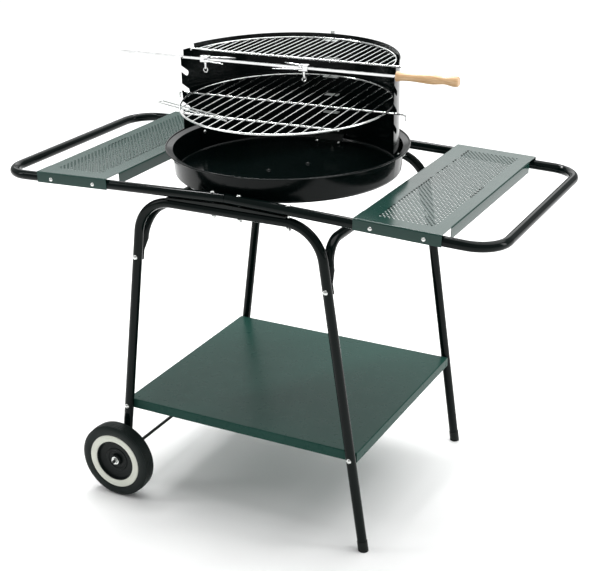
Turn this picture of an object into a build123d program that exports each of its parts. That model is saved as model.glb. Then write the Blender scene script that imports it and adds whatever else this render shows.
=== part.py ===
from build123d import *
import math
import os

# Kettle charcoal grill on a tubular trolley.
# All sizes in millimetres, +Z up. Origin on the floor under the middle of the grill.
# +X runs along the long tubular rail towards the feet, -X towards the wheels.
# -Y is the front, where the open side of the windshield and the spit are.

# ---- driving dimensions ----
tube_diameter = 22.0
tube_wall = 1.2

rail_length = 1212.0           # between the centrelines of the two end tubes
rail_width = 560.0             # between the centrelines of the front and rear tubes
rail_corner_radius = 66.0
rail_joint_height = 785.5      # centreline at the joint in the middle
rail_fall_angle = 2.05         # each half falls away from the joint by this much
rail_joint_gap = 1.0           # seam between the two halves
rail_bolt_near = 32.0          # bolts either side of the joint
rail_bolt_far = 150.0

arch_top_height = 754.5        # centreline of the straight top of the front and rear arches
arch_bend_radius = 89.0
leg_lean_angle = 7.9
leg_half_spread = 219.5        # leg centreline from the middle, at the arch top height

side_arch_top_height = 710.0
side_arch_bend_radius = 56.0
side_arch_end_height = 604.0
side_arch_round_height = 652.0
crimp_thickness = 5.0
crimp_width = 16.0
leg_bolt_height = 615.0

shelf_top_height = 236.7
shelf_half_length = 302.5
shelf_flange_depth = 23.0
shelf_corner_radius = 2.5
shelf_bolt_drop = 11.0
sheet_thickness = 1.2

axle_diameter = 8.0
axle_height = 92.0
axle_end_overhang = 3.0
wheel_radius = 92.0
tyre_width = 38.0
whitewall_outer_radius = 68.5
whitewall_inner_radius = 51.5
wheel_disc_setback = 12.0
hub_radius = 15.0
hub_width = 34.0
washer_thickness = 1.6
washer_radius = 10.0

side_shelf_inner = 302.0       # from the middle of the grill, measured along the rail
side_shelf_width = 194.0
side_shelf_rise = 4.0          # underside of the sheet above the top of the rail tube
side_shelf_flange_depth = 25.5
side_shelf_flange_inset = 27.0 # the side flanges stop this far inside the rail tubes
side_shelf_screw_inset = 39.0

bowl_rim_radius = 280.0
bowl_rim_height = 837.0
bowl_floor_height = 775.0
bowl_wall_top_radius = 264.0
bowl_wall_foot_radius = 260.0
bowl_corner_radius = 6.0
bowl_thickness = 1.2
bowl_rim_bead = 4.0
bowl_turn = 2.3                # the bowl and everything in it sit turned by this angle

shield_thickness = 1.0
shield_top_height = 1036.0
shield_rear_radius = 247.0
shield_rear_offset = 5.0
shield_rear_half_angle = 50.0
shield_edge_half_width = 264.0
shield_edge_forward = 14.0
shield_lower_cutback = 46.0
shield_hem_height = 3.0
shield_hem_thickness = 0.8
shield_floor_gap = 12.5        # the sheet stops this far above the bowl floor
notch_heights = (986.0, 943.5, 901.0)  # middle of each notch mouth
notch_used = 1                 # which of them holds the cooking grate
notch_slot_width = 12.5
notch_depth = 24.2
notch_slope_angle = 35.0
ear_top_height = 1028.5        # the finger of sheet between the spit and the warming grate

tab_width = 37.0
tab_reach = 15.0
tab_thickness = 1.5
tab_pitch = 43.9
tab_count = 5
tab_top_height = 1022.2
ladder_width = 10.0

spit_height = 1012.5
spit_side = 5.2
spit_place_y = -7.0
spit_lip_height = 1012.0
spit_tip_reach = 444.0
spit_handle_start = 267.0
handle_length = 140.0
handle_grip_depth = 60.0
fork_positions = (-203.0, 47.0)
fork_block_length = 22.0
fork_block_side = 15.0
fork_prong_length = 52.0
fork_prong_diameter = 3.8
fork_prong_spread = 19.0       # from the spit to a prong where it leaves the block
fork_prong_tip = 32.0          # from the spit to a prong at its tip
thumbscrew_diameter = 5.0
thumbscrew_length = 23.5
thumbscrew_ring_radius = 5.2
thumbscrew_ring_wire = 2.6

grate_ring_radius = 242.0
grate_ring_wire = 4.6
grate_bar_wire = 3.2
grate_bar_count = 17
grate_bar_pitch = 26.0
grate_cross_wire = 4.2
grate_front_cross_y = -146.0
grate_cross_reach = 284.0
grate_hook_drop = 14.0
grate_lug_used = 2             # counted from the top lug
grate_handle_wire = 4.0
grate_handle_inner = (-62.0, -160.0)   # middle of the handle's two wires where they start
grate_handle_outer = (-286.0, -81.0)   # and where the loop closes
grate_handle_width = 14.0

warming_ring_radius = 243.0
warming_ring_offset = 5.5      # its middle lies this far behind the middle of the bowl
warming_ring_wire = 4.6
warming_bar_wire = 2.8
warming_bar_count = 28
warming_bar_pitch = 16.7
warming_front_y = 28.0
warming_bar_reach = 263.0
warming_slot_width = 14.0

bolt_diameter = 6.0
bolt_head_diameter = 12.0
bolt_head_height = 3.6
nut_across_flats = 10.0
nut_height = 5.0
screw_diameter = 5.0
screw_head_diameter = 9.5
screw_head_height = 3.0
foot_cap_height = 24.0
foot_cap_wall = 0.8
foot_cap_base = 3.0

# ---- clearances ----
hole_clearance = 0.4           # added to a hole's diameter
running_clearance = 0.05       # per side, wheel bore on its axle and fork on its spit
seat_gap = 0.1                 # between pieces that are bolted face to face
weld_sink = 0.6                # crossing wires sink into each other by this much
moving_gap = 0.35              # between bodies that move past each other

# ---- derived ----
tube_radius = tube_diameter / 2
half_width = rail_width / 2
half_length = rail_length / 2
lean = math.tan(math.radians(leg_lean_angle))
fall = math.tan(math.radians(rail_fall_angle))

os.makedirs("parts", exist_ok=True)
pieces = {}


def keep(name, shape):
    """Remember a finished piece under its node name."""
    pieces[name] = shape


def leg_x(height):
    """Distance of a leg centreline from the middle at a given height."""
    return leg_half_spread + (arch_top_height - height) * lean


def rail_top(x):
    """Height of the top of the rail tube at a given distance from the middle."""
    return rail_joint_height + tube_radius - abs(x) * fall


def solid_along(path, radius):
    """A round bar that follows a path."""
    start = Plane(origin=path @ 0, z_dir=path % 0)
    return sweep(start * Circle(radius), path=path)


def hollow_along(path, radius, wall):
    """A round tube that follows a path."""
    return solid_along(path, radius) - solid_along(path, radius - wall)


def rod(start, end, radius):
    """A round bar between two points."""
    axis = Vector(*end) - Vector(*start)
    base = Plane(origin=start, z_dir=axis)
    return base * Cylinder(radius, axis.length, align=(Align.CENTER, Align.CENTER, Align.MIN))


def pointing(origin, direction):
    """A work plane whose Z axis points along a direction."""
    return Plane(origin=origin, z_dir=direction)


def domed_head(diameter, height):
    """A low domed screw head sitting on its own base plane."""
    radius = diameter / 2
    ball_radius = (radius ** 2 + height ** 2) / (2 * height)
    ball = Pos(0, 0, height - ball_radius) * Sphere(ball_radius)
    keeper = Cylinder(radius, height, align=(Align.CENTER, Align.CENTER, Align.MIN))
    return ball & keeper


def bolt(origin, direction, diameter, head_diameter, head_height, shank):
    """A domed bolt: the head sits on the origin and the shank points along the direction."""
    down = Vector(*direction)
    place = pointing(origin, down * -1)
    head = domed_head(head_diameter, head_height)
    stem = Cylinder(diameter / 2, shank, align=(Align.CENTER, Align.CENTER, Align.MAX))
    return place * (head + stem)


def nut(origin, direction, across, height, bore):
    """A hexagon nut that starts at the origin and extends along the direction."""
    hexagon = RegularPolygon(across / 2, 6, major_radius=False)
    ring = extrude(hexagon - Circle(bore / 2), height)
    return pointing(origin, direction) * ring


def hole(origin, direction, diameter, depth):
    """A round cutter that starts at the origin and extends along the direction."""
    cutter = Cylinder(diameter / 2, depth, align=(Align.CENTER, Align.CENTER, Align.MIN))
    return pointing(origin, direction) * cutter


# ---- rails: two U-shaped halves that meet in the middle and fall away from the joint ----
rail_bolts = []
for side in (-1, 1):
    # front of one half carries two bolts, its back carries one, and the other half is the same turned round
    rail_bolts.append((side * rail_bolt_near, -half_width))
    rail_bolts.append((side * rail_bolt_near, half_width))
    rail_bolts.append((side * rail_bolt_far, -side * half_width))

side_shelf_screws_x = (side_shelf_inner + side_shelf_screw_inset,
                       side_shelf_inner + side_shelf_width - side_shelf_screw_inset)
rail_shapes = {}
for side, name in ((-1, "rail_left"), (1, "rail_right")):
    start_x = side * rail_joint_gap / 2
    path = FilletPolyline((start_x, -half_width, 0),
                          (side * half_length, -half_width, 0),
                          (side * half_length, half_width, 0),
                          (start_x, half_width, 0),
                          radius=rail_corner_radius)
    rail = hollow_along(path, tube_radius, tube_wall)
    for along in side_shelf_screws_x:
        for face in (-1, 1):
            rail -= hole((side * along, face * (half_width + tube_diameter), 0), (0, -face, 0),
                         screw_diameter + hole_clearance, tube_diameter * 1.2)
    rail = Pos(0, 0, rail_joint_height) * Rot(0, side * rail_fall_angle, 0) * rail
    for x, y in rail_bolts:
        if x * side > 0:
            rail -= hole((x, y, rail_joint_height + 40), (0, 0, -1), bolt_diameter + hole_clearance, 80)
    rail_shapes[side] = rail
    keep(name, rail)

# ---- front and rear arches: the straight top lies under the rail, the ends are the legs ----
arch_top = arch_top_height + tube_radius
arch_bottom = arch_top_height - tube_radius
left_leg_end = axle_height - 14.0
right_leg_end = foot_cap_base
for face, name in ((-1, "front_arch"), (1, "rear_arch")):
    y = face * half_width
    cut_below = 20.0
    path = FilletPolyline((-leg_x(left_leg_end - cut_below), y, left_leg_end - cut_below),
                          (-leg_half_spread, y, arch_top_height),
                          (leg_half_spread, y, arch_top_height),
                          (leg_x(-cut_below), y, -cut_below),
                          radius=arch_bend_radius)
    arch = hollow_along(path, tube_radius, tube_wall)
    # trim both feet level
    low_left = Pos(-leg_x(0), y, left_leg_end) * Box(200, 60, 200, align=(Align.CENTER, Align.CENTER, Align.MAX))
    low_right = Pos(leg_x(0), y, right_leg_end) * Box(200, 60, 200, align=(Align.CENTER, Align.CENTER, Align.MAX))
    arch -= low_left
    arch -= low_right
    for x, bolt_y in rail_bolts:
        if bolt_y * face > 0:
            arch -= hole((x, y, arch_top + 5), (0, 0, -1), bolt_diameter + hole_clearance, 40)
    for side in (-1, 1):
        for height in (leg_bolt_height, shelf_top_height - shelf_bolt_drop):
            arch -= hole((side * leg_x(height), y - 30, height), (0, 1, 0), bolt_diameter + hole_clearance, 60)
    arch -= hole((-leg_x(axle_height), y - 30, axle_height), (0, 1, 0), axle_diameter + hole_clearance, 60)
    keep(name, arch)

# ---- side arches: braces between the front and rear legs, in the plane of the leaning legs ----
inner_face = half_width - tube_radius
for side, name in ((-1, "side_arch_left"), (1, "side_arch_right")):
    run_y = inner_face - tube_radius - seat_gap
    path = FilletPolyline((side * leg_x(side_arch_round_height), -run_y, side_arch_round_height),
                          (side * leg_x(side_arch_top_height), -run_y, side_arch_top_height),
                          (side * leg_x(side_arch_top_height), run_y, side_arch_top_height),
                          (side * leg_x(side_arch_round_height), run_y, side_arch_round_height),
                          radius=side_arch_bend_radius)
    brace = hollow_along(path, tube_radius, tube_wall)
    for face in (-1, 1):
        leg_direction = Vector(-side * lean, 0, 1)
        crimp_y = inner_face - crimp_thickness / 2 - seat_gap
        crimp_height = side_arch_round_height - 26.0
        round_plane = Plane(origin=(side * leg_x(side_arch_round_height), face * run_y, side_arch_round_height),
                            x_dir=(0, 1, 0), z_dir=leg_direction)
        flat_plane = Plane(origin=(side * leg_x(crimp_height), face * crimp_y, crimp_height),
                           x_dir=(0, 1, 0), z_dir=leg_direction)
        neck = loft([flat_plane * RectangleRounded(crimp_thickness, crimp_width, crimp_thickness * 0.45),
                     round_plane * Circle(tube_radius)])
        tab_length = (crimp_height - side_arch_end_height) / math.cos(math.radians(leg_lean_angle))
        tab = extrude(flat_plane * RectangleRounded(crimp_thickness, crimp_width, crimp_thickness * 0.45),
                      -tab_length)
        end = neck + tab
        end -= hole((side * leg_x(leg_bolt_height), face * (inner_face + 5), leg_bolt_height),
                    (0, -face, 0), bolt_diameter + hole_clearance, 20)
        brace += end
    keep(name, brace)

# ---- bowl carrier: a wedge bar under each rail joint and a strap between them ----
carrier_top = bowl_floor_height - seat_gap
strap_thickness = 2.3
strap_half_width = 55.0
clamp_half_length = 148.0
clamp_depth = 20.0
clamp_low = arch_top + seat_gap


def turned(x, y):
    """Where a point of the turned bowl group lands on the frame."""
    angle = math.radians(bowl_turn)
    return (x * math.cos(angle) - y * math.sin(angle), x * math.sin(angle) + y * math.cos(angle))


def clamp_height(x):
    """Height of the carrier's wedge under the falling rail."""
    return rail_top(x) - tube_diameter - seat_gap - 0.35


bars = []
for face in (-1, 1):
    outline = Polyline((-clamp_half_length, clamp_low), (clamp_half_length, clamp_low),
                       (clamp_half_length, clamp_height(clamp_half_length)), (0, clamp_height(0)),
                       (-clamp_half_length, clamp_height(clamp_half_length)), close=True)
    wedge_plane = Plane(origin=(0, face * half_width + clamp_depth / 2, 0), x_dir=(1, 0, 0), z_dir=(0, -1, 0))
    bars.append(extrude(wedge_plane * make_face(outline), clamp_depth))
strap_reach = 2 * (half_width - clamp_depth / 2) + 1.0
strap_top = clamp_height(strap_half_width) - 0.1
strap = Pos(0, 0, strap_top) * Box(2 * strap_half_width, strap_reach, strap_thickness,
                                   align=(Align.CENTER, Align.CENTER, Align.MAX))
carrier = bars[0] + bars[1] + strap
pad_half = 50.0
bowl_pad = Pos(0, 0, carrier_top) * Box(2 * pad_half, 2 * (half_width - 30), carrier_top - strap_top + 0.5,
                                        align=(Align.CENTER, Align.CENTER, Align.MAX))
carrier += bowl_pad
for x, y in rail_bolts:
    carrier -= hole((x, y, carrier_top + 10), (0, 0, -1), bolt_diameter + hole_clearance, 40)
bowl_bolt_places = ((-31.0, -40.0), (31.0, 40.0))
foot_screw_half_spacing = 29.0
foot_screw_y = 222.0
for x in (-foot_screw_half_spacing, foot_screw_half_spacing):
    # the nuts under the bowl floor stand in clearance holes
    place_x, place_y = turned(x, foot_screw_y)
    carrier -= hole((place_x, place_y, carrier_top + 10), (0, 0, -1), 15.0, 40)
for bolt_x, bolt_y in bowl_bolt_places:
    x, y = turned(bolt_x, bolt_y)
    carrier -= hole((x, y, carrier_top + 10), (0, 0, -1), bolt_diameter + hole_clearance, 40)
keep("bowl_carrier", carrier)

bolt_set = []
nut_set = []
arch_straight = leg_half_spread - arch_bend_radius * math.tan(math.radians(90 - leg_lean_angle) / 2)
inner_bend = arch_bend_radius - tube_radius


def arch_under(x):
    """Height under the arch for a nut, which sits lower where the arch begins to bend."""
    past = abs(x) + nut_across_flats * 0.6 - arch_straight
    if past <= 0:
        return arch_bottom
    return arch_bottom - inner_bend + math.sqrt(inner_bend ** 2 - past ** 2)


for x, y in rail_bolts:
    head_base = rail_top(x) + bolt_head_diameter / 2 * fall + 0.02
    nut_top = arch_under(x) - 0.02
    shank = head_base - nut_top + nut_height + 1.5
    bolt_set.append(bolt((x, y, head_base), (0, 0, -1), bolt_diameter, bolt_head_diameter, bolt_head_height, shank))
    nut_set.append(nut((x, y, nut_top), (0, 0, -1), nut_across_flats, nut_height, bolt_diameter))
keep("rail_bolts", Compound(children=bolt_set))
keep("rail_nuts", Compound(children=nut_set))

bolt_set = []
nut_set = []
for side in (-1, 1):
    for face in (-1, 1):
        x = side * leg_x(leg_bolt_height)
        outer = half_width + tube_radius + 0.02
        inner = inner_face - crimp_thickness - 2 * seat_gap
        grip = outer - inner + nut_height + 1.5
        bolt_set.append(bolt((x, face * outer, leg_bolt_height), (0, -face, 0), bolt_diameter,
                             bolt_head_diameter, bolt_head_height, grip))
        nut_set.append(nut((x, face * inner, leg_bolt_height), (0, -face, 0), nut_across_flats,
                           nut_height, bolt_diameter))
keep("leg_bolts", Compound(children=bolt_set))
keep("leg_nuts", Compound(children=nut_set))

# ---- lower shelf: a sheet folded down on all four sides, bolted between the legs ----
shelf_half_depth = inner_face - seat_gap
shelf_bolt_height = shelf_top_height - shelf_bolt_drop
block = Pos(0, 0, shelf_top_height) * Box(2 * shelf_half_length, 2 * shelf_half_depth, shelf_flange_depth,
                                          align=(Align.CENTER, Align.CENTER, Align.MAX))
block = fillet(block.edges().group_by(Axis.Z)[-1], shelf_corner_radius)
hollow = Pos(0, 0, shelf_top_height - sheet_thickness) * Box(2 * (shelf_half_length - sheet_thickness),
                                                             2 * (shelf_half_depth - sheet_thickness),
                                                             shelf_flange_depth,
                                                             align=(Align.CENTER, Align.CENTER, Align.MAX))
hollow = fillet(hollow.edges().group_by(Axis.Z)[-1], shelf_corner_radius - sheet_thickness)
lower_shelf = block - hollow
for side in (-1, 1):
    x = side * leg_x(shelf_bolt_height)
    lower_shelf -= hole((x, -half_width, shelf_bolt_height), (0, 1, 0), bolt_diameter + hole_clearance,
                        rail_width)
keep("lower_shelf", lower_shelf)

bolt_set = []
nut_set = []
for side in (-1, 1):
    for face in (-1, 1):
        x = side * leg_x(shelf_bolt_height)
        outer = half_width + tube_radius + 0.02
        inner = shelf_half_depth - sheet_thickness - 0.02
        grip = outer - inner + nut_height + 1.5
        bolt_set.append(bolt((x, face * outer, shelf_bolt_height), (0, -face, 0), bolt_diameter,
                             bolt_head_diameter, bolt_head_height, grip))
        nut_set.append(nut((x, face * inner, shelf_bolt_height), (0, -face, 0), nut_across_flats,
                           nut_height, bolt_diameter))
keep("lower_shelf_bolts", Compound(children=bolt_set))
keep("lower_shelf_nuts", Compound(children=nut_set))

# ---- foot caps under the two right legs ----
for face, name in ((-1, "foot_cap_front"), (1, "foot_cap_rear")):
    y = face * half_width
    low = (leg_x(-20), y, -20)
    high = (leg_x(foot_cap_height), y, foot_cap_height)
    cap = rod(low, high, tube_radius + foot_cap_wall)
    socket_low = (leg_x(-20), y, -20)
    socket = rod(socket_low, (leg_x(60), y, 60), tube_radius + running_clearance)
    keep_above = Pos(leg_x(0), y, foot_cap_base) * Box(100, 60, 100, align=(Align.CENTER, Align.CENTER, Align.MIN))
    cap -= socket & keep_above
    cap -= Pos(leg_x(0), y, 0) * Box(100, 60, 100, align=(Align.CENTER, Align.CENTER, Align.MAX))
    keep(name, cap)

# ---- axle, wheels, washers and axle nuts ----
axle_x = -leg_x(axle_height)
leg_outer = half_width + tube_radius
hub_inner = leg_outer + washer_thickness + moving_gap
hub_outer = hub_inner + hub_width
washer_out = hub_outer + moving_gap
nut_out = washer_out + washer_thickness
axle_half = nut_out + nut_height + axle_end_overhang
keep("axle", rod((axle_x, -axle_half, axle_height), (axle_x, axle_half, axle_height), axle_diameter / 2))

washers = []
nuts = []
for face in (-1, 1):
    for start in (leg_outer + 0.02, washer_out):
        ring = extrude(Circle(washer_radius) - Circle(axle_diameter / 2 + 0.02), washer_thickness)
        washers.append(pointing((axle_x, face * start, axle_height), (0, face, 0)) * ring)
    nuts.append(nut((axle_x, face * (nut_out + 0.02), axle_height), (0, face, 0), 13.0, nut_height,
                    axle_diameter))
keep("axle_washers", Compound(children=washers))
keep("axle_nuts", Compound(children=nuts))

for face, end_name in ((-1, "front"), (1, "rear")):
    # the wheel is drawn as a half section: radius across, distance out from the leg upwards
    inner = hub_inner + 3.0
    outer = inner + tyre_width
    middle = (inner + outer) / 2
    bead = 6.0
    tread = make_face(Polyline((whitewall_outer_radius, inner + 1.5), (wheel_radius - bead, inner),
                               (wheel_radius - 1.5, inner + bead), (wheel_radius, middle),
                               (wheel_radius - 1.5, outer - bead), (wheel_radius - bead, outer),
                               (whitewall_outer_radius, outer - 1.5), close=True))
    band = make_face(Polyline((whitewall_inner_radius, inner + 2.0), (whitewall_outer_radius - 0.1, inner + 2.0),
                              (whitewall_outer_radius - 0.1, outer - 1.0), (whitewall_inner_radius, outer - 2.5),
                              close=True))
    disc_out = outer - wheel_disc_setback
    disc = make_face(Polyline((axle_diameter / 2 + running_clearance, hub_inner),
                              (hub_radius, hub_inner), (hub_radius, disc_out - 5.0),
                              (whitewall_inner_radius - 0.1, disc_out - 3.0),
                              (whitewall_inner_radius - 0.1, outer - 3.0),
                              (whitewall_inner_radius - 2.5, outer - 3.0),
                              (whitewall_inner_radius - 3.5, disc_out),
                              (hub_radius, disc_out - 2.0), (hub_radius, hub_outer),
                              (axle_diameter / 2 + running_clearance, hub_outer), close=True))
    section_plane = Plane(origin=(axle_x, 0, axle_height), x_dir=(1, 0, 0), z_dir=(0, 0, -face))
    for label, section in (("tyre", tread), ("whitewall", band), ("wheel_disc", disc)):
        shape = revolve(section_plane * section, Axis((axle_x, 0, axle_height), (0, 1, 0)), 360)
        keep(f"{label}_{end_name}", shape)

# ---- side shelves: perforated sheets folded over the rails; drawn as plain folded sheets ----
flange_outer = half_width + tube_radius + seat_gap + sheet_thickness
flange_inner = half_width + tube_radius + seat_gap
sheet_under = tube_radius + side_shelf_rise
sheet_top = sheet_under + sheet_thickness
screw_set = []
for side, name in ((-1, "side_shelf_left"), (1, "side_shelf_right")):
    near = side_shelf_inner
    far = side_shelf_inner + side_shelf_width
    centre = side * (near + far) / 2
    outer_block = Pos(centre, 0, sheet_top) * Box(side_shelf_width, 2 * flange_outer, side_shelf_flange_depth,
                                                  align=(Align.CENTER, Align.CENTER, Align.MAX))
    outer_block = fillet(outer_block.edges().group_by(Axis.Z)[-1], 3.0)
    inner_block = Pos(centre, 0, sheet_under) * Box(side_shelf_width - 2 * sheet_thickness, 2 * flange_inner,
                                                    side_shelf_flange_depth * 2,
                                                    align=(Align.CENTER, Align.CENTER, Align.MAX))
    inner_block = fillet(inner_block.edges().group_by(Axis.Z)[-1], 3.0 - sheet_thickness)
    shelf = outer_block - inner_block
    # the side flanges stop short of the rails
    for face in (-1, 1):
        for edge in (near, far):
            start = half_width - tube_radius - side_shelf_flange_inset
            clear = Pos(side * edge, face * (start + flange_inner) / 2, sheet_under) * Box(
                8.0, flange_inner - start, side_shelf_flange_depth * 2,
                align=(Align.CENTER, Align.CENTER, Align.MAX))
            shelf -= clear
    for along in side_shelf_screws_x:
        for face in (-1, 1):
            shelf -= hole((side * along, face * (flange_outer + 5), 0), (0, -face, 0),
                          screw_diameter + hole_clearance, 12)
    place = Pos(0, 0, rail_joint_height) * Rot(0, side * rail_fall_angle, 0)
    keep(name, place * shelf)
    for along in side_shelf_screws_x:
        for face in (-1, 1):
            screw = bolt((side * along, face * (flange_outer + 0.02), 0), (0, -face, 0), screw_diameter,
                         screw_head_diameter, screw_head_height, tube_diameter * 0.7)
            screw_set.append(place * screw)
keep("side_shelf_screws", Compound(children=screw_set))

# ---- everything from here is built straight and then turned with the bowl ----
turn = Rot(0, 0, bowl_turn)

# ---- fire bowl ----
def bowl_face(radius_floor_corner):
    """Closed half section of the bowl sheet."""
    t = bowl_thickness
    lower = Polyline((0, bowl_floor_height), (bowl_wall_foot_radius - bowl_corner_radius, bowl_floor_height))
    corner_end = (bowl_wall_foot_radius + 0.4, bowl_floor_height + radius_floor_corner)
    bend = RadiusArc(lower @ 1, corner_end, -bowl_corner_radius * 1.02)
    wall = Line(corner_end, (bowl_wall_top_radius, bowl_rim_height - 8.0))
    lip = Line(wall @ 1, (bowl_rim_radius - 1.0, bowl_rim_height - 3.0))
    rim = Line(lip @ 1, (bowl_rim_radius - 1.0, bowl_rim_height - 3.0 + t))
    lip_back = Line(rim @ 1, (bowl_wall_top_radius - t, bowl_rim_height - 8.0 + t))
    inner_corner_end = (bowl_wall_foot_radius + 0.4 - t, bowl_floor_height + radius_floor_corner)
    wall_back = Line(lip_back @ 1, inner_corner_end)
    floor_back = (bowl_wall_foot_radius - bowl_corner_radius, bowl_floor_height + t)
    bend_back = RadiusArc(inner_corner_end, floor_back, (bowl_corner_radius - t) * 1.02)
    floor_line = Polyline(floor_back, (0, bowl_floor_height + t), (0, bowl_floor_height))
    return make_face([lower, bend, wall, lip, rim, lip_back, wall_back, bend_back, floor_line])


bowl = revolve(Plane.XZ * bowl_face(bowl_corner_radius), Axis.Z, 360)
bead = revolve(Plane.XZ * Pos(bowl_rim_radius - bowl_rim_bead / 2, bowl_rim_height - bowl_rim_bead / 2)
               * Circle(bowl_rim_bead / 2), Axis.Z, 360)
bowl += bead
for x, y in bowl_bolt_places:
    bowl -= hole((x, y, bowl_floor_height - 5), (0, 0, 1), bolt_diameter + hole_clearance, 10)
bolt_set = []
nut_set = []
for x, y in bowl_bolt_places:
    head_base = bowl_floor_height + bowl_thickness + 0.02
    nut_top = strap_top - strap_thickness - 0.02
    bolt_set.append(bolt((x, y, head_base), (0, 0, -1), bolt_diameter, bolt_head_diameter, bolt_head_height,
                         head_base - nut_top + nut_height + 1.0))
    nut_set.append(nut((x, y, nut_top), (0, 0, -1), nut_across_flats, nut_height, bolt_diameter))
keep("bowl_bolts", Compound(children=[turn * one for one in bolt_set]))
keep("bowl_nuts", Compound(children=[turn * one for one in nut_set]))

# ---- windshield: a sheet bent to a half round, open at the front ----
rear_normal = 90 - shield_rear_half_angle
shoulder = (shield_rear_radius * math.cos(math.radians(rear_normal)),
            shield_rear_offset + shield_rear_radius * math.sin(math.radians(rear_normal)))
edge = (shield_edge_half_width, -shield_edge_forward)
chord = math.hypot(edge[0] - shoulder[0], edge[1] - shoulder[1])
chord_turn = math.degrees(math.atan2(edge[0] - shoulder[0], shoulder[1] - edge[1]))
half_turn = rear_normal - chord_turn
side_radius = chord / (2 * math.sin(math.radians(half_turn)))
side_centre = (shoulder[0] - side_radius * math.cos(math.radians(rear_normal)),
               shoulder[1] - side_radius * math.sin(math.radians(rear_normal)))
side_end_angle = math.degrees(math.atan2(edge[1] - side_centre[1], edge[0] - side_centre[0]))


def shield_band(inner_shift, outer_shift):
    """Plan view of the bent sheet between two offsets from its middle line."""
    def edges_at(shift):
        right = CenterArc((side_centre[0], side_centre[1]), side_radius + shift, side_end_angle,
                          rear_normal - side_end_angle)
        rear = CenterArc((0, shield_rear_offset), shield_rear_radius + shift, rear_normal,
                         180 - 2 * rear_normal)
        left = CenterArc((-side_centre[0], side_centre[1]), side_radius + shift, 180 - rear_normal,
                         rear_normal - side_end_angle)
        return [right, rear, left]
    outer_edges = edges_at(outer_shift)
    inner_edges = edges_at(inner_shift)
    close_left = Line(outer_edges[2] @ 1, inner_edges[2] @ 1)
    close_right = Line(inner_edges[0] @ 0, outer_edges[0] @ 0)
    return make_face(outer_edges + [close_left] + inner_edges + [close_right])


half_sheet = shield_thickness / 2
warming_height = tab_top_height + warming_ring_wire / 2 + moving_gap
shield_bottom = bowl_floor_height + shield_floor_gap
shield_height = shield_top_height - shield_bottom
shield = Pos(0, 0, shield_bottom) * extrude(shield_band(-half_sheet, half_sheet), shield_height)
hem = Pos(0, 0, shield_top_height - shield_hem_height) * extrude(shield_band(half_sheet - 0.05, half_sheet + shield_hem_thickness),
                                                                 shield_hem_height)
shield += hem
for side in (-1, 1):
    # cut the lower front corners back so the sheet drops inside the bowl
    corner = Pos(side * 280, -40 + shield_lower_cutback / 2, bowl_rim_height + 4) * Box(
        120, 80 + shield_lower_cutback, 120, align=(Align.CENTER, Align.CENTER, Align.MAX))
    shield -= corner
    # slanting hook notches that open to the front
    for mouth in notch_heights:
        slot = Pos(0, -notch_depth / 2, 0) * Box(60, notch_depth * 3, notch_slot_width)
        slot += Pos(0, notch_depth, 0) * Rot(0, 90, 0) * Cylinder(notch_slot_width / 2, 60)
        slot = Rot(-notch_slope_angle, 0, 0) * slot
        shield -= Pos(side * shield_edge_half_width, -shield_edge_forward, mouth) * slot
    # a round seat, open upwards, carries the spit behind a low lip
    seat_radius = spit_side / 2 * math.sqrt(2) + moving_gap
    seat = Rot(0, 90, 0) * Cylinder(seat_radius, 60)
    seat += Box(60, 2 * seat_radius, 60, align=(Align.CENTER, Align.CENTER, Align.MIN))
    shield -= Pos(side * 260, spit_place_y, spit_height) * seat
    above_lip = Pos(side * 260, spit_place_y, spit_lip_height) * Box(60, 60, 60, align=(Align.CENTER, Align.MAX,
                                                                                 Align.MIN))
    shield -= above_lip
    # an upright slot behind the ear carries the front bar of the warming grate
    slot_floor = warming_height - warming_ring_wire / 2 - moving_gap
    upright = Pos(side * 260, warming_front_y, slot_floor) * Box(60, warming_slot_width, 60,
                                                                 align=(Align.CENTER, Align.CENTER, Align.MIN))
    shield -= upright
    ear_cut = Pos(side * 260, warming_front_y, ear_top_height) * Box(60, 80, 60,
                                                                     align=(Align.CENTER, Align.MAX, Align.MIN))
    shield -= ear_cut

# ---- support ladder: a strip behind the sheet with five lugs that come through it ----
ladder_radius = shield_rear_radius + shield_rear_offset
lug_outer = ladder_radius + half_sheet + 1.9
ladder_low = bowl_rim_height - 12.0
strip = Pos(0, lug_outer - 0.3, ladder_low) * Box(ladder_width, 1.6, shield_top_height + 7 - ladder_low,
                                                 align=(Align.CENTER, Align.MIN, Align.MIN))
ladder = strip
for step_number in range(tab_count):
    top = tab_top_height - step_number * tab_pitch
    lug_inner = ladder_radius - half_sheet - tab_reach
    lug = Pos(0, lug_inner, top) * Box(tab_width, lug_outer - lug_inner + 0.5, tab_thickness,
                                       align=(Align.CENTER, Align.MIN, Align.MAX))
    ladder += lug
    opening = Pos(0, ladder_radius, top + 0.3) * Box(tab_width + 0.6, 16, tab_thickness + 0.6,
                                                     align=(Align.CENTER, Align.CENTER, Align.MAX))
    shield -= opening
ladder_screw_height = bowl_rim_height - 3.0
ladder -= hole((0, lug_outer + 10, ladder_screw_height), (0, -1, 0), screw_diameter + hole_clearance, 30)
shield -= hole((0, lug_outer + 10, ladder_screw_height), (0, -1, 0), screw_diameter + hole_clearance, 30)
head_base = ladder_radius - half_sheet - 0.25
ladder_screw = bolt((0, head_base, ladder_screw_height), (0, 1, 0), screw_diameter, screw_head_diameter,
                    screw_head_height, lug_outer + 1.6 - head_base + 3.5)
ladder_nut = nut((0, lug_outer + 1.35, ladder_screw_height), (0, 1, 0), 8.0, 3.0, screw_diameter)

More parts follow.
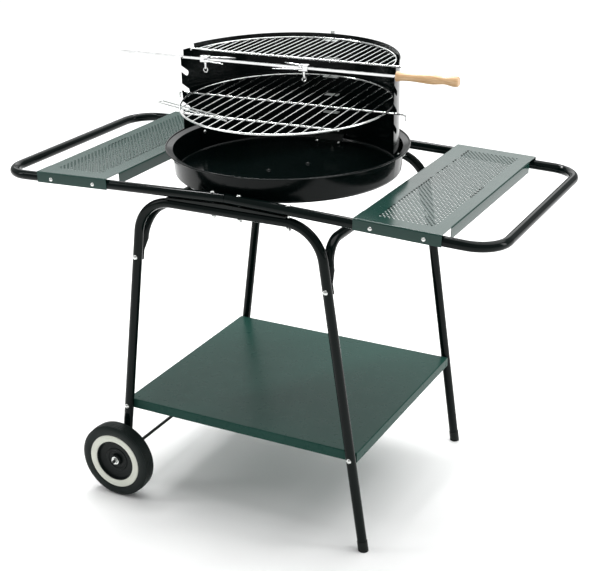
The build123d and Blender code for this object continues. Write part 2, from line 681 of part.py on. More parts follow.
# ---- shield foot: a bent bracket that joins the bowl floor to the back of the sheet ----
foot_width = 64.0
foot_thickness = 2.0
foot_lean = 12.3                # run of the slanting part between the floor and the upright
foot_base = bowl_floor_height + bowl_thickness + seat_gap
foot_back = shield_rear_offset + math.sqrt((shield_rear_radius - half_sheet) ** 2 - (foot_width / 2) ** 2) - 0.15
foot_front = foot_screw_y - 12.0
foot_bend = foot_back - foot_lean
foot_rise = 14.0
foot_top = 30.0
foot_line = Polyline((foot_front, foot_base), (foot_bend, foot_base), (foot_back, foot_base + foot_rise),
                     (foot_back, foot_base + foot_top), (foot_back - foot_thickness, foot_base + foot_top),
                     (foot_back - foot_thickness, foot_base + foot_rise + 1.0),
                     (foot_bend - 1.0, foot_base + foot_thickness), (foot_front, foot_base + foot_thickness),
                     close=True)
foot_plane = Plane(origin=(-foot_width / 2, 0, 0), x_dir=(0, 1, 0), z_dir=(1, 0, 0))
shield_foot = extrude(foot_plane * make_face(foot_line), foot_width)
foot_screws = []
foot_nuts = []
for x in (-foot_screw_half_spacing, foot_screw_half_spacing):
    y = foot_screw_y
    shield_foot -= hole((x, y, foot_base - 1), (0, 0, 1), screw_diameter + hole_clearance, 6)
    bowl -= hole((x, y, bowl_floor_height - 5), (0, 0, 1), screw_diameter + hole_clearance, 12)
    head_base = foot_base + foot_thickness + 0.02
    foot_screws.append(bolt((x, y, head_base), (0, 0, -1), screw_diameter, screw_head_diameter,
                            screw_head_height, head_base - bowl_floor_height + 4.5))
    foot_nuts.append(nut((x, y, bowl_floor_height - 0.02), (0, 0, -1), 8.0, 3.0, screw_diameter))
# one screw through the sheet into the upright of the foot
foot_screw_height = foot_base + foot_top - 8.0
cutter = hole((0, foot_back - 20, foot_screw_height), (0, 1, 0), screw_diameter + hole_clearance, 40)
shield -= cutter
shield_foot -= cutter
head_base = foot_back - foot_thickness - 0.02
foot_screws.append(bolt((0, head_base, foot_screw_height), (0, 1, 0), screw_diameter, screw_head_diameter,
                        screw_head_height, 8.0))
foot_nuts.append(nut((0, ladder_radius + half_sheet + 0.1, foot_screw_height), (0, 1, 0), 8.0, 3.0,
                     screw_diameter))

# the sheet is also screwed to the bowl wall near its two lower corners
side_screws = []
side_screw_nuts = []
side_screw_height = bowl_rim_height - 18.0
for side in (-1, 1):
    y = shield_lower_cutback + 10.0
    x = side_centre[0] + math.sqrt(side_radius ** 2 - (y - side_centre[1]) ** 2)
    direction = Vector(x - side_centre[0], y - side_centre[1], 0).normalized()
    outward = Vector(side * direction.X, direction.Y, 0)
    on_sheet = Vector(side * x, y, 0)
    start = on_sheet - outward * 12
    cutter = hole((start.X, start.Y, side_screw_height), (outward.X, outward.Y, 0),
                  screw_diameter + hole_clearance, 40)
    shield -= cutter
    bowl -= cutter
    seat = on_sheet - outward * (half_sheet + 0.1)
    side_screws.append(bolt((seat.X, seat.Y, side_screw_height), (outward.X, outward.Y, 0), screw_diameter,
                            screw_head_diameter, screw_head_height, 15.5))
    back = on_sheet + outward * (bowl_wall_top_radius - on_sheet.length + 0.9)
    side_screw_nuts.append(nut((back.X, back.Y, side_screw_height), (outward.X, outward.Y, 0), 8.0, 3.0,
                               screw_diameter))
keep("fire_bowl", turn * bowl)
keep("windshield", turn * shield)
keep("support_ladder", turn * ladder)
keep("ladder_screw", turn * ladder_screw)
keep("ladder_nut", turn * ladder_nut)
keep("shield_foot", turn * shield_foot)
keep("shield_screws", Compound(children=[turn * one for one in foot_screws + side_screws]))
keep("shield_nuts", Compound(children=[turn * one for one in foot_nuts + side_screw_nuts]))

# ---- cooking grate: a welded wire disc that hooks into the notches and rests on a lug ----
cross_z = -(grate_bar_wire + grate_cross_wire) / 2 + weld_sink
slope = math.radians(notch_slope_angle)
notch_end_y = notch_depth * math.cos(slope) - shield_edge_forward
notch_end_z = notch_heights[notch_used] - notch_depth * math.sin(slope)
cross_height = notch_end_z - notch_slot_width / 2 + grate_cross_wire / 2 + moving_gap
rear_height = tab_top_height - grate_lug_used * tab_pitch + grate_ring_wire / 2 + moving_gap
grate_tilt = math.atan((rear_height - cross_height + cross_z) / (grate_ring_radius - notch_end_y))
# the crossbar sits at the notch and the back of the ring sits on its lug
grate_cross_y = notch_end_y / math.cos(grate_tilt)
grate_plane_height = cross_height - cross_z - notch_end_y * math.tan(grate_tilt)
grate_place = turn * Pos(0, 0, grate_plane_height) * Rot(math.degrees(grate_tilt), 0, 0)
ring = Torus(grate_ring_radius, grate_ring_wire / 2)
grate = ring
for number in range(grate_bar_count):
    x = (number - (grate_bar_count - 1) / 2) * grate_bar_pitch
    reach = math.sqrt(grate_ring_radius ** 2 - x ** 2)
    grate += rod((x, -reach, 0), (x, reach, 0), grate_bar_wire / 2)
hooked = FilletPolyline((-grate_cross_reach, grate_cross_y, cross_z - grate_hook_drop),
                        (-grate_cross_reach, grate_cross_y, cross_z),
                        (grate_cross_reach, grate_cross_y, cross_z),
                        (grate_cross_reach, grate_cross_y, cross_z - grate_hook_drop), radius=6.0)
grate += solid_along(hooked, grate_cross_wire / 2)
front_reach = math.sqrt(grate_ring_radius ** 2 - grate_front_cross_y ** 2)
grate += rod((-front_reach, grate_front_cross_y, cross_z), (front_reach, grate_front_cross_y, cross_z),
             grate_cross_wire / 2)
handle_low = -(grate_bar_wire + grate_handle_wire) / 2 + weld_sink
handle_run = Vector(*grate_handle_outer) - Vector(*grate_handle_inner)
handle_side = Vector(-handle_run.Y, handle_run.X).normalized() * (grate_handle_width / 2)
corners = []
for place, across in ((grate_handle_inner, -1), (grate_handle_outer, -1),
                      (grate_handle_outer, 1), (grate_handle_inner, 1)):
    corners.append((place[0] + across * handle_side.X, place[1] + across * handle_side.Y, handle_low))
loop = FilletPolyline(*corners, radius=4.0)
grate += solid_along(loop, grate_handle_wire / 2)
keep("cooking_grate", grate_place * grate)

# ---- warming grate: a half-moon wire grate at the top of the windshield ----
warming_place = turn * Pos(0, 0, warming_height)
half_ring = Pos(0, warming_ring_offset, 0) * Torus(warming_ring_radius, warming_ring_wire / 2)
half_ring &= Pos(0, warming_front_y, 0) * Box(600, 600, 40, align=(Align.CENTER, Align.MIN, Align.CENTER))
warming = half_ring
warming += rod((-warming_bar_reach, warming_front_y, 0), (warming_bar_reach, warming_front_y, 0),
               warming_ring_wire / 2)
for number in range(warming_bar_count):
    x = (number - (warming_bar_count - 1) / 2) * warming_bar_pitch
    reach = warming_ring_offset + math.sqrt(warming_ring_radius ** 2 - x ** 2)
    warming += rod((x, warming_front_y, 0), (x, reach, 0), warming_bar_wire / 2)
keep("warming_grate", warming_place * warming)

# ---- spit: square rod with a point, wooden handle and two sliding forks ----
spit_place = turn * Pos(0, spit_place_y, spit_height)
rod_end = spit_handle_start + handle_grip_depth
bar_start = -spit_tip_reach + 22.0
bar = extrude(Plane(origin=(bar_start, 0, 0), x_dir=(0, 1, 0), z_dir=(1, 0, 0)) * Rectangle(spit_side, spit_side),
              rod_end - bar_start)
point = loft([Plane(origin=(bar_start, 0, 0), x_dir=(0, 1, 0), z_dir=(-1, 0, 0)) * Rectangle(spit_side, spit_side),
              Plane(origin=(-spit_tip_reach, 0, 0), x_dir=(0, 1, 0), z_dir=(-1, 0, 0)) * Rectangle(1.0, 1.0)])
keep("spit_rod", spit_place * (bar + point))

# the handle swells towards its end and has a turned groove before a round knob
profile_parts = ((0, 11.3), (0.029, 10.6), (0.071, 9.0), (0.143, 8.3), (0.229, 8.2), (0.336, 8.8), (0.443, 9.7),
                 (0.536, 10.6), (0.6, 10.6), (0.65, 10.0), (0.714, 8.9), (0.757, 8.3), (0.8, 8.6), (0.857, 10.2),
                 (0.907, 11.3), (0.95, 11.4), (0.986, 10.6), (1.0, 9.0))
profile = [(part * handle_length, radius) for part, radius in profile_parts]
curve = Spline(profile[1:-1])
closing = [Line((0, 0), profile[0]), Line(profile[0], profile[1]), curve, Line(profile[-2], profile[-1]),
           Line(profile[-1], (handle_length, 0)), Line((handle_length, 0), (0, 0))]
handle = revolve(Plane.XY * make_face(closing), Axis.X, 360)
handle -= Pos(-1, 0, 0) * Box(handle_grip_depth + 1.1, spit_side + 0.04, spit_side + 0.04,
                              align=(Align.MIN, Align.CENTER, Align.CENTER))
keep("spit_handle", spit_place * Pos(spit_handle_start, 0, 0) * handle)

for inward, place_x, name in ((1, fork_positions[0], "left"), (-1, fork_positions[1], "right")):
    block = Box(fork_block_length, fork_block_side, fork_block_side)
    block = fillet(block.edges(), 2.0)
    fork = block
    for half in (-1, 1):
        root_x = 0
        bend_x = inward * (fork_block_length / 2 - 2)
        end_x = inward * (fork_block_length / 2 + fork_prong_length)
        bend = (bend_x, half * fork_prong_spread, 0)
        tip = (end_x, half * fork_prong_tip, 0)
        run = Vector(*tip) - Vector(*bend)
        shoulder_point = Vector(*bend) + run * 0.72
        prong = rod((root_x, half * (fork_block_side / 2 - 3), 0), bend, fork_prong_diameter / 2)
        prong += Pos(*bend) * Sphere(fork_prong_diameter / 2)
        prong += rod(bend, (shoulder_point.X, shoulder_point.Y, 0), fork_prong_diameter / 2)
        tip_plane = Plane(origin=(shoulder_point.X, shoulder_point.Y, 0), z_dir=run)
        prong += tip_plane * Cone(fork_prong_diameter / 2, 0.5, run.length * 0.28,
                                  align=(Align.CENTER, Align.CENTER, Align.MIN))
        fork += prong
    bore = spit_side + 2 * running_clearance
    fork -= Box(fork_block_length * 4, bore, bore)
    fork -= Pos(0, 0, -fork_block_side) * Cylinder((thumbscrew_diameter + 0.1) / 2, fork_block_side * 2)
    keep(f"fork_{name}", spit_place * Pos(place_x, 0, 0) * fork)
    screw_top = -spit_side / 2 - 0.15
    screw = Pos(0, 0, screw_top) * Cylinder(thumbscrew_diameter / 2, thumbscrew_length - 7,
                                            align=(Align.CENTER, Align.CENTER, Align.MAX))
    collar = Pos(0, 0, -fork_block_side / 2 - 0.3) * Cylinder(thumbscrew_diameter / 2 + 1.4, 2.0,
                                                             align=(Align.CENTER, Align.CENTER, Align.MAX))
    ring_z = -(thumbscrew_length + thumbscrew_ring_radius - 3.0)
    eye = Pos(0, 0, ring_z) * Rot(90, 0, 0) * Torus(thumbscrew_ring_radius, thumbscrew_ring_wire / 2)
    stem = Pos(0, 0, screw_top - 10) * Cylinder(1.7, thumbscrew_length - 10.0 - 3.0,
                                                align=(Align.CENTER, Align.CENTER, Align.MAX))
    ring_turn = 0 if name == "left" else 65
    keep(f"thumbscrew_{name}", spit_place * Pos(place_x, 0, 0) * Rot(0, 0, ring_turn) * (screw + collar + stem + eye))

for name, shape in pieces.items():
    export_step(shape, f"parts/{name}.step")
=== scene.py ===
import math

import bmesh
import bpy
from mathutils import Matrix, Vector


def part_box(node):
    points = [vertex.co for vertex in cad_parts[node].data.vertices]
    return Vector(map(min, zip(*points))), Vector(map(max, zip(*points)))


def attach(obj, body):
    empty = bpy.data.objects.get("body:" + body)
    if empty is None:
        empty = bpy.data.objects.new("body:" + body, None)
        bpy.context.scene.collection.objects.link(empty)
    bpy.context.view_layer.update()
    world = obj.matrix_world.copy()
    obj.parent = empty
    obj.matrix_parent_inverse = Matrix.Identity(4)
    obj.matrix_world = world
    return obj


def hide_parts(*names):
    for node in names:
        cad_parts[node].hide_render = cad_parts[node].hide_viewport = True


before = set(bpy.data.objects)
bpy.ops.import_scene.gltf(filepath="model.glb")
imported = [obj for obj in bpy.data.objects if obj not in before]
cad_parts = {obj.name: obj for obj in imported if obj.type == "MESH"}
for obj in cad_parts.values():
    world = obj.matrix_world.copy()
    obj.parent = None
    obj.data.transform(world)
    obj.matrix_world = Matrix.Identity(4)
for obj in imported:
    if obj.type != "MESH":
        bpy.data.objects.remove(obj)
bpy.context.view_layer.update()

MM = 0.001

# ---------------------------------------------------------------- materials


def new_material(name):
    m = bpy.data.materials.new(name)
    m.use_nodes = True
    nt = m.node_tree
    return m, nt, nt.nodes["Principled BSDF"]


def noise(nt, scale, detail=3.0, rough=0.5):
    co = nt.nodes.new("ShaderNodeTexCoord")
    n = nt.nodes.new("ShaderNodeTexNoise")
    n.inputs["Scale"].default_value = scale
    n.inputs["Detail"].default_value = detail
    n.inputs["Roughness"].default_value = rough
    nt.links.new(co.outputs["Object"], n.inputs["Vector"])
    return n


def span(nt, src, low, high, from_low=0.3, from_high=0.7):
    r = nt.nodes.new("ShaderNodeMapRange")
    r.inputs["From Min"].default_value = from_low
    r.inputs["From Max"].default_value = from_high
    r.inputs["To Min"].default_value = low
    r.inputs["To Max"].default_value = high
    nt.links.new(src, r.inputs["Value"])
    return r.outputs["Result"]


def bump(nt, bsdf, src, strength, distance):
    b = nt.nodes.new("ShaderNodeBump")
    b.inputs["Strength"].default_value = strength
    b.inputs["Distance"].default_value = distance
    nt.links.new(src, b.inputs["Height"])
    nt.links.new(b.outputs["Normal"], bsdf.inputs["Normal"])


def mix_colour(nt, bsdf, src, one, two):
    ramp = nt.nodes.new("ShaderNodeValToRGB")
    ramp.color_ramp.elements[0].position = 0.35
    ramp.color_ramp.elements[1].position = 0.65
    ramp.color_ramp.elements[0].color = (*one, 1)
    ramp.color_ramp.elements[1].color = (*two, 1)
    nt.links.new(src, ramp.inputs["Fac"])
    nt.links.new(ramp.outputs["Color"], bsdf.inputs["Base Color"])


def enamel(name, dark, light, rough_low, rough_high, specular, wave):
    m, nt, b = new_material(name)
    b.inputs["Specular IOR Level"].default_value = specular
    broad = noise(nt, 5.0, 4.0)
    mix_colour(nt, b, broad.outputs["Fac"], dark, light)
    fine = noise(nt, 38.0, 5.0, 0.6)
    nt.links.new(span(nt, fine.outputs["Fac"], rough_low, rough_high), b.inputs["Roughness"])
    peel = noise(nt, 160.0, 2.0)
    bump(nt, b, peel.outputs["Fac"], wave, 0.0004)
    return m


def plated(name, tint, rough_low, rough_high, scale=60.0, wave=0.05):
    m, nt, b = new_material(name)
    b.inputs["Metallic"].default_value = 1.0
    cloud = noise(nt, scale, 4.0)
    mix_colour(nt, b, cloud.outputs["Fac"], tuple(c * 0.86 for c in tint), tint)
    nt.links.new(span(nt, cloud.outputs["Fac"], rough_low, rough_high), b.inputs["Roughness"])
    fine = noise(nt, 420.0, 2.0)
    bump(nt, b, fine.outputs["Fac"], wave, 0.0002)
    return m


def plastic(name, dark, light, rough_low, rough_high, grain, wave):
    m, nt, b = new_material(name)
    b.inputs["Specular IOR Level"].default_value = 0.15
    cloud = noise(nt, 22.0, 4.0)
    mix_colour(nt, b, cloud.outputs["Fac"], dark, light)
    nt.links.new(span(nt, cloud.outputs["Fac"], rough_low, rough_high), b.inputs["Roughness"])
    fine = noise(nt, grain, 3.0)
    bump(nt, b, fine.outputs["Fac"], wave, 0.0003)
    return m


def wood(name, angle):
    m, nt, b = new_material(name)
    b.inputs["Coat Weight"].default_value = 0.35
    b.inputs["Coat Roughness"].default_value = 0.18
    co = nt.nodes.new("ShaderNodeTexCoord")
    mp = nt.nodes.new("ShaderNodeMapping")
    mp.inputs["Rotation"].default_value = (0.0, 0.0, -angle)
    mp.inputs["Scale"].default_value = (7.0, 95.0, 95.0)
    nt.links.new(co.outputs["Object"], mp.inputs["Vector"])
    g = nt.nodes.new("ShaderNodeTexNoise")
    g.inputs["Scale"].default_value = 1.6
    g.inputs["Detail"].default_value = 6.0
    g.inputs["Roughness"].default_value = 0.62
    g.inputs["Distortion"].default_value = 0.5
    nt.links.new(mp.outputs["Vector"], g.inputs["Vector"])
    ramp = nt.nodes.new("ShaderNodeValToRGB")
    ramp.color_ramp.elements[0].position = 0.34
    ramp.color_ramp.elements[0].color = (0.55, 0.30, 0.13, 1)
    ramp.color_ramp.elements[1].position = 0.62
    ramp.color_ramp.elements[1].color = (0.80, 0.54, 0.30, 1)
    nt.links.new(g.outputs["Fac"], ramp.inputs["Fac"])
    nt.links.new(ramp.outputs["Color"], b.inputs["Base Color"])
    nt.links.new(span(nt, g.outputs["Fac"], 0.42, 0.28), b.inputs["Roughness"])
    bump(nt, b, g.outputs["Fac"], 0.12, 0.0003)
    return m


BOWL_TURN = math.radians(2.3)
tube_enamel = enamel("tube enamel", (0.0010, 0.0034, 0.0030), (0.0018, 0.0048, 0.0044),
                     0.07, 0.11, 0.13, 0.02)
# The lower shelf is the same green enamel as the side shelves. Its copy has a lighter base colour and little
# reflection, which is painted light from above on the lower shelf's top.
lower_shelf_painted_light_enamel = enamel("shelf enamel", (0.013, 0.052, 0.041), (0.015, 0.057, 0.045), 0.26, 0.31, 0.08, 0.008)
side_enamel = enamel("side shelf enamel", (0.008, 0.038, 0.030), (0.010, 0.042, 0.034),
                     0.15, 0.18, 0.34, 0.006)
bowl_enamel = enamel("bowl enamel", (0.0010, 0.0028, 0.0026), (0.0020, 0.0042, 0.0040),
                     0.12, 0.19, 0.14, 0.04)
dark_paint = enamel("dark paint", (0.002, 0.004, 0.0036), (0.004, 0.007, 0.006), 0.25, 0.38, 0.2, 0.05)
zinc = plated("zinc plate", (0.78, 0.80, 0.78), 0.16, 0.30)
lug_zinc = enamel("lug zinc", (0.78, 0.82, 0.80), (0.88, 0.91, 0.89), 0.30, 0.42, 0.9, 0.03)
chrome = plated("chrome wire", (0.84, 0.86, 0.85), 0.10, 0.20)
spit_chrome = plated("spit chrome", (0.88, 0.89, 0.89), 0.07, 0.15)
tyre_mat = plastic("tyre black", (0.006, 0.010, 0.009), (0.010, 0.015, 0.014), 0.42, 0.56, 300.0, 0.08)
disc_mat = plastic("wheel black", (0.003, 0.0055, 0.005), (0.005, 0.008, 0.0075), 0.34, 0.46, 240.0, 0.06)
cap_mat = plastic("foot black", (0.005, 0.008, 0.007), (0.009, 0.012, 0.011), 0.35, 0.5, 240.0, 0.06)
white_mat = plastic("whitewall", (0.66, 0.68, 0.60), (0.72, 0.74, 0.66), 0.34, 0.46, 200.0, 0.05)
handle_wood = wood("turned beech", BOWL_TURN)

LOOKS = {
    tube_enamel: ("rail_left", "rail_right", "front_arch", "rear_arch", "side_arch_left", "side_arch_right"),
    lower_shelf_painted_light_enamel: ("lower_shelf",),
    side_enamel: ("side_shelf_left", "side_shelf_right"),
    bowl_enamel: ("fire_bowl", "windshield"),
    dark_paint: ("bowl_carrier", "axle", "shield_foot", "bowl_bolts", "bowl_nuts", "ladder_screw"),
    lug_zinc: ("support_ladder",),
    zinc: ("rail_bolts", "rail_nuts", "leg_bolts", "leg_nuts", "lower_shelf_bolts", "lower_shelf_nuts",
           "axle_washers", "axle_nuts", "side_shelf_screws", "ladder_nut", "shield_screws", "shield_nuts"),
    chrome: ("cooking_grate", "warming_grate"),
    spit_chrome: ("spit_rod", "fork_left", "fork_right", "thumbscrew_left", "thumbscrew_right"),
    tyre_mat: ("tyre_front", "tyre_rear"),
    white_mat: ("whitewall_front", "whitewall_rear"),
    disc_mat: ("wheel_disc_front", "wheel_disc_rear"),
    cap_mat: ("foot_cap_front", "foot_cap_rear"),
    handle_wood: ("spit_handle",),
}
for mat, names in LOOKS.items():
    for name in names:
        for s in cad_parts[name].material_slots:
            s.material = mat

# ---------------------------------------------------------------- mesh helpers


def mesh_object(name, verts, faces, mat, smooth_angle=None):
    me = bpy.data.meshes.new(name)
    me.from_pydata([tuple(v) for v in verts], [], faces)
    me.update()
    bm = bmesh.new()
    bm.from_mesh(me)
    bmesh.ops.remove_doubles(bm, verts=bm.verts, dist=1e-7)
    bmesh.ops.recalc_face_normals(bm, faces=bm.faces)
    bm.to_mesh(me)
    bm.free()
    ob = bpy.data.objects.new(name, me)
    bpy.context.scene.collection.objects.link(ob)
    me.materials.append(mat)
    if smooth_angle:
        for p in me.polygons:
            p.use_smooth = True
        me.set_sharp_from_angle(angle=math.radians(smooth_angle))
    return ob


class Builder:
    def __init__(self):
        self.verts = []
        self.faces = []

    def add(self, verts, faces):
        base = len(self.verts)
        self.verts.extend(verts)
        self.faces.extend([tuple(base + i for i in f) for f in faces])

    def box(self, lo, hi):
        x0, y0, z0 = lo
        x1, y1, z1 = hi
        v = [(x0, y0, z0), (x1, y0, z0), (x1, y1, z0), (x0, y1, z0),
             (x0, y0, z1), (x1, y0, z1), (x1, y1, z1), (x0, y1, z1)]
        f = [(0, 3, 2, 1), (4, 5, 6, 7), (0, 1, 5, 4), (1, 2, 6, 5), (2, 3, 7, 6), (3, 0, 4, 7)]
        self.add(v, f)

    def strip(self, profile, axis, start, end):
        """A closed profile, given in the two other axes, pushed along an axis."""
        n = len(profile)
        v = []
        for at in (start, end):
            for p, q in profile:
                v.append((at, p, q) if axis == "x" else (p, at, q))
        f = [tuple(range(n)), tuple(range(2 * n - 1, n - 1, -1))]
        for i in range(n):
            j = (i + 1) % n
            f.append((i, j, n + j, n + i))
        self.add(v, f)


def lathe(name, profile, centre, out, mat, steps=96, smooth=35):
    """Turns (radius, distance) pairs about the wheel's axis, which points along Y."""
    verts, faces = [], []
    n = len(profile)
    for k in range(steps):
        a = 2 * math.pi * k / steps
        for r, d in profile:
            verts.append((centre[0] + r * math.cos(a), centre[1] + out * d, centre[2] + r * math.sin(a)))
    for k in range(steps):
        m = (k + 1) % steps
        for i in range(n - 1):
            faces.append((k * n + i, k * n + i + 1, m * n + i + 1, m * n + i))
    return mesh_object(name, verts, faces, mat, smooth)


# ---------------------------------------------------------------- perforated side shelves

NEAR, FAR = 302 * MM, 496 * MM
UNDER, TOP = 15 * MM, 16.2 * MM
HALF = 292.3 * MM
DROP = 25.5 * MM
SIDE_HALF = 242 * MM
BEND = 3.0 * MM
SHEET = 1.2 * MM
HOLE_R = 2.6 * MM
HOLE_SIDES = 12
PITCH_X, ROW_PITCH = 10.2 * MM, 6.7 * MM
JOINT_Z = 785.5 * MM
FALL = math.radians(2.05)


def perforated_cell(b, x0, x1, y0, y1):
    """A rectangle of sheet with one round hole in its middle."""
    cx, cy = (x0 + x1) / 2, (y0 + y1) / 2
    hx, hy = (x1 - x0) / 2, (y1 - y0) / 2
    inner, outer = [], []
    corner = math.atan2(hy, hx)
    angles = sorted([2 * math.pi * k / HOLE_SIDES for k in range(HOLE_SIDES)]
                    + [corner, math.pi - corner, math.pi + corner, 2 * math.pi - corner])
    for a in angles:
        ca, sa = math.cos(a), math.sin(a)
        reach = min(hx / max(abs(ca), 1e-9), hy / max(abs(sa), 1e-9))
        inner.append((cx + HOLE_R * ca, cy + HOLE_R * sa))
        outer.append((cx + reach * ca, cy + reach * sa))
    n = len(angles)
    v = []
    for z in (TOP, UNDER):
        v += [(x, y, z) for x, y in inner]
        v += [(x, y, z) for x, y in outer]
    f = []
    for i in range(n):
        j = (i + 1) % n
        f.append((i, n + i, n + j, j))
        f.append((2 * n + i, 2 * n + j, 3 * n + j, 3 * n + i))
        f.append((i, j, 2 * n + j, 2 * n + i))
    b.add(v, f)


def plate(b, x0, x1, y0, y1):
    b.add([(x0, y0, TOP), (x1, y0, TOP), (x1, y1, TOP), (x0, y1, TOP)], [(0, 1, 2, 3)])
    b.add([(x0, y0, UNDER), (x1, y0, UNDER), (x1, y1, UNDER), (x0, y1, UNDER)], [(3, 2, 1, 0)])


def fold_profile(edge, sign, depth):
    """Section of a fold: flat, rounded corner, flange. edge is the flange's outer face."""
    pts = [(edge - sign * BEND, TOP)]
    for k in range(1, 7):
        a = math.pi / 2 * (1 - k / 6)
        pts.append((edge - sign * BEND + sign * BEND * math.cos(a), TOP - BEND + BEND * math.sin(a)))
    pts.append((edge, TOP - depth))
    pts.append((edge - sign * SHEET, TOP - depth))
    inner = BEND - SHEET
    for k in range(6, -1, -1):
        a = math.pi / 2 * (1 - k / 6)
        pts.append((edge - sign * BEND + sign * inner * math.cos(a), TOP - BEND + inner * math.sin(a)))
    return pts


def side_shelf(side):
    b = Builder()
    columns, rows = 12, 76
    field_x0 = NEAR + 38 * MM
    field_x1 = field_x0 + (columns + 0.5) * PITCH_X
    field_y = rows * ROW_PITCH / 2
    inner_x0, inner_x1 = NEAR + BEND, FAR - BEND
    inner_y = HALF - BEND
    for row in range(rows):
        # every other row is shifted by half a hole spacing
        y0 = -field_y + row * ROW_PITCH
        y1 = y0 + ROW_PITCH
        shift = PITCH_X / 2 if row % 2 else 0.0
        if shift:
            plate(b, field_x0, field_x0 + shift, y0, y1)
        else:
            plate(b, field_x1 - PITCH_X / 2, field_x1, y0, y1)
        for c in range(columns):
            x0 = field_x0 + shift + c * PITCH_X
            perforated_cell(b, x0, x0 + PITCH_X, y0, y1)
    plate(b, field_x0, field_x1, -inner_y, -field_y)
    plate(b, field_x0, field_x1, field_y, inner_y)
    plate(b, inner_x0, field_x0, -inner_y, inner_y)
    plate(b, field_x1, inner_x1, -inner_y, inner_y)
    for sign in (-1, 1):
        b.strip(fold_profile(sign * HALF, sign, DROP), "x", NEAR + 0.8 * MM, FAR - 0.8 * MM)
    for edge, sign in ((NEAR, -1), (FAR, 1)):
        b.strip(fold_profile(edge, sign, DROP), "y", -SIDE_HALF, SIDE_HALF)
        lo, hi = sorted((edge - sign * BEND, edge - sign * 0.8 * MM))
        b.box((lo, -inner_y, UNDER), (hi, -SIDE_HALF, TOP))
        b.box((lo, SIDE_HALF, UNDER), (hi, inner_y, TOP))
    verts = []
    for x, y, z in b.verts:
        wx = x * math.cos(FALL) + z * math.sin(FALL)
        wz = -x * math.sin(FALL) + z * math.cos(FALL)
        verts.append((side * wx, y, JOINT_Z + wz))
    name = "perforated_shelf_left" if side < 0 else "perforated_shelf_right"
    ob = mesh_object(name, verts, b.faces, side_enamel, 40)
    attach(ob, "trolley")
    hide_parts("side_shelf_left" if side < 0 else "side_shelf_right")
    return ob


for side in (-1, 1):
    side_shelf(side)

# ---------------------------------------------------------------- wheels


def rounded(points, cuts):
    """Rounds chosen corners of an open profile: cuts maps an index to a radius."""
    out = []
    for i, p in enumerate(points):
        r = cuts.get(i)
        if not r:
            out.append(p)
            continue
        a, c = points[i - 1], points[i + 1]
        va, vc = Vector((a[0] - p[0], a[1] - p[1])), Vector((c[0] - p[0], c[1] - p[1]))
        va.normalize()
        vc.normalize()
        start = Vector(p) + va * r
        end = Vector(p) + vc * r
        for k in range(6):
            t = k / 5
            q = start * (1 - t) ** 2 + Vector(p) * 2 * t * (1 - t) + end * t ** 2
            out.append((q.x, q.y))
    return out


for end, out in (("front", -1), ("rear", 1)):
    low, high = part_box("tyre_" + end)
    cx, cz = (low[0] + high[0]) / 2, (low[2] + high[2]) / 2
    R = (high[0] - low[0]) / 2
    inner = min(abs(low[1]), abs(high[1]))
    width = high[1] - low[1]
    centre = (cx, 0, cz)
    w_r, d_r = 68.5 * MM, 51.5 * MM
    tyre = [(w_r, inner + 2.5 * MM), (R - 7 * MM, inner + 0.4 * MM), (R - 1.0 * MM, inner + 4 * MM)]
    for k in range(5):
        a = inner + 5.5 * MM + k * (width - 11 * MM) / 5
        g = (width - 11 * MM) / 5
        crown = R - 0.9 * MM * abs((k - 2) / 2.0)
        tyre += [(crown, a), (crown, a + g - 1.6 * MM), (crown - 0.9 * MM, a + g - 1.2 * MM),
                 (crown - 0.9 * MM, a + g - 0.4 * MM)]
    tyre += [(R - 1.0 * MM, inner + width - 4 * MM), (R - 7 * MM, inner + width - 0.4 * MM),
             (R - 14 * MM, inner + width - 0.2 * MM), (w_r + 1.5 * MM, inner + width - 1.2 * MM),
             (w_r, inner + width - 2.2 * MM), (w_r, inner + 2.5 * MM)]
    tyre = rounded(tyre, {1: 2.5 * MM, len(tyre) - 5: 3.0 * MM})
    ob = lathe("ribbed_tyre_" + end, tyre, centre, out, tyre_mat, 120, 32)
    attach(ob, "wheel_" + end)
    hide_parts("tyre_" + end)
    face = inner + width
    white = [(d_r, inner + 3 * MM), (w_r - 0.1 * MM, inner + 3 * MM), (w_r - 0.1 * MM, face - 2.4 * MM),
             (w_r - 1.4 * MM, face - 1.1 * MM), (w_r - 6 * MM, face - 0.6 * MM),
             (d_r + 5 * MM, face - 1.0 * MM), (d_r + 1.0 * MM, face - 1.9 * MM),
             (d_r, face - 3.2 * MM), (d_r, inner + 3 * MM)]
    ob = lathe("whitewall_ring_" + end, rounded(white, {3: 0.8 * MM, 6: 0.8 * MM}), centre, out,
               white_mat, 120, 40)
    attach(ob, "wheel_" + end)
    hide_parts("whitewall_" + end)
    bore = 4.05 * MM
    dish = face - 12 * MM
    disc = [(bore, inner - 2.9 * MM), (15 * MM, inner - 2.9 * MM), (15 * MM, dish - 6 * MM),
            (d_r - 0.1 * MM, dish - 4 * MM), (d_r - 0.1 * MM, face - 3.4 * MM),
            (d_r - 2.2 * MM, face - 3.2 * MM),
            (d_r - 4.2 * MM, dish + 1.0 * MM), (d_r - 8 * MM, dish), (30 * MM, dish - 1.2 * MM),
            (28.5 * MM, dish + 0.4 * MM), (24 * MM, dish + 0.4 * MM), (22.5 * MM, dish - 1.2 * MM),
            (15.5 * MM, dish - 1.4 * MM), (14.0 * MM, dish + 2 * MM), (13.2 * MM, face - 7.4 * MM),
            (11.5 * MM, face - 6.6 * MM), (bore, face - 6.6 * MM), (bore, inner - 2.9 * MM)]
    ob = lathe("dished_disc_" + end, rounded(disc, {6: 1.5 * MM, 7: 1.5 * MM}), centre, out, disc_mat, 96, 30)
    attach(ob, "wheel_" + end)
    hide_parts("wheel_disc_" + end)

# ---------------------------------------------------------------- floor, light, camera

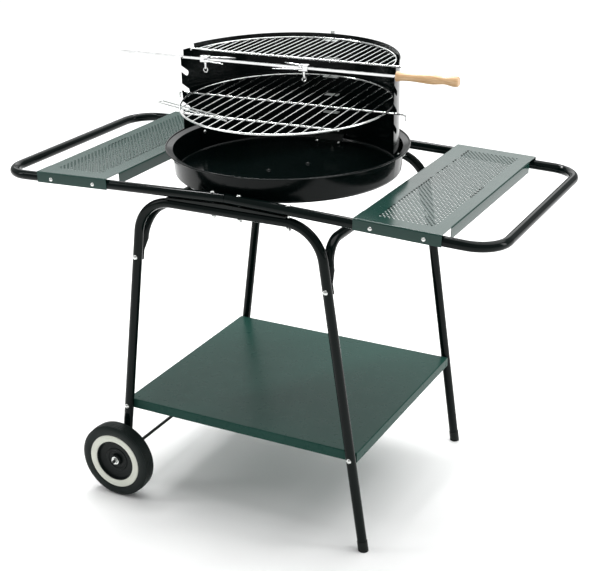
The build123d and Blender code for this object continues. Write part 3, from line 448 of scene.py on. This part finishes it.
floor = mesh_object("floor", [(-30, -30, -0.0006), (30, -30, -0.0006), (30, 30, -0.0006), (-30, 30, -0.0006)],
                    [(0, 1, 2, 3)], None)
floor_mat, nt, b = new_material("pale floor")
b.inputs["Roughness"].default_value = 0.85
b.inputs["Specular IOR Level"].default_value = 0.15
soft = noise(nt, 3.0, 2.0)
mix_colour(nt, b, soft.outputs["Fac"], (0.93, 0.935, 0.93), (0.95, 0.955, 0.95))
floor.data.materials.clear()
floor.data.materials.append(floor_mat)

scene = bpy.context.scene
world = bpy.data.worlds.new("studio")
scene.world = world
world.use_nodes = True
world.node_tree.nodes["Background"].inputs["Color"].default_value = (1.0, 1.0, 1.0, 1)
world.node_tree.nodes["Background"].inputs["Strength"].default_value = 0.45


def softbox(name, at, aim, size, power):
    data = bpy.data.lights.new(name, "AREA")
    data.shape = "RECTANGLE"
    data.size, data.size_y = size
    data.energy = power
    ob = bpy.data.objects.new(name, data)
    scene.collection.objects.link(ob)
    ob.location = at
    ob.rotation_euler = (Vector(aim) - Vector(at)).to_track_quat("-Z", "Y").to_euler()
    return ob


softbox("overhead strip", (-1.3, 0.85, 3.4), (0, 0, 0.7), (2.6, 0.26), 80)
softbox("backdrop", (-2.0, 3.8, 3.3), (-0.1, 0, 0.8), (5.2, 2.6), 74)
softbox("left", (-2.6, -1.6, 2.4), (0, 0, 0.7), (0.4, 1.8), 14)
softbox("right", (3.0, 0.6, 1.6), (0.2, 0, 0.6), (0.6, 1.8), 22)
sun_data = bpy.data.lights.new("sun", "SUN")
sun_data.energy = 2.3
sun_data.angle = math.radians(60)
sun = bpy.data.objects.new("sun", sun_data)
scene.collection.objects.link(sun)
sun.rotation_euler = Vector((0.15, 0.3, 1.0)).to_track_quat("Z", "Y").to_euler()

az, el, roll = math.radians(28.0575), math.radians(22.5424), math.radians(0.9756)
ahead = Vector((-math.sin(az) * math.cos(el), math.cos(az) * math.cos(el), -math.sin(el)))
right = Vector((math.cos(az), math.sin(az), 0))
up = right.cross(ahead)
r = math.cos(roll) * right - math.sin(roll) * up
u = math.sin(roll) * right + math.cos(roll) * up
cam_data = bpy.data.cameras.new("camera")
cam_data.sensor_width = 36
cam_data.sensor_fit = "HORIZONTAL"
cam_data.lens = 36 * 1276.18 / 600
cam = bpy.data.objects.new("camera", cam_data)
scene.collection.objects.link(cam)
at = Vector((1.3458, -2.4778, 1.6504))
cam.matrix_world = Matrix(((r.x, u.x, -ahead.x, at.x), (r.y, u.y, -ahead.y, at.y), (r.z, u.z, -ahead.z, at.z),
                           (0, 0, 0, 1)))
scene.camera = cam
scene.view_settings.view_transform = "Standard"
scene.view_settings.look = "None"
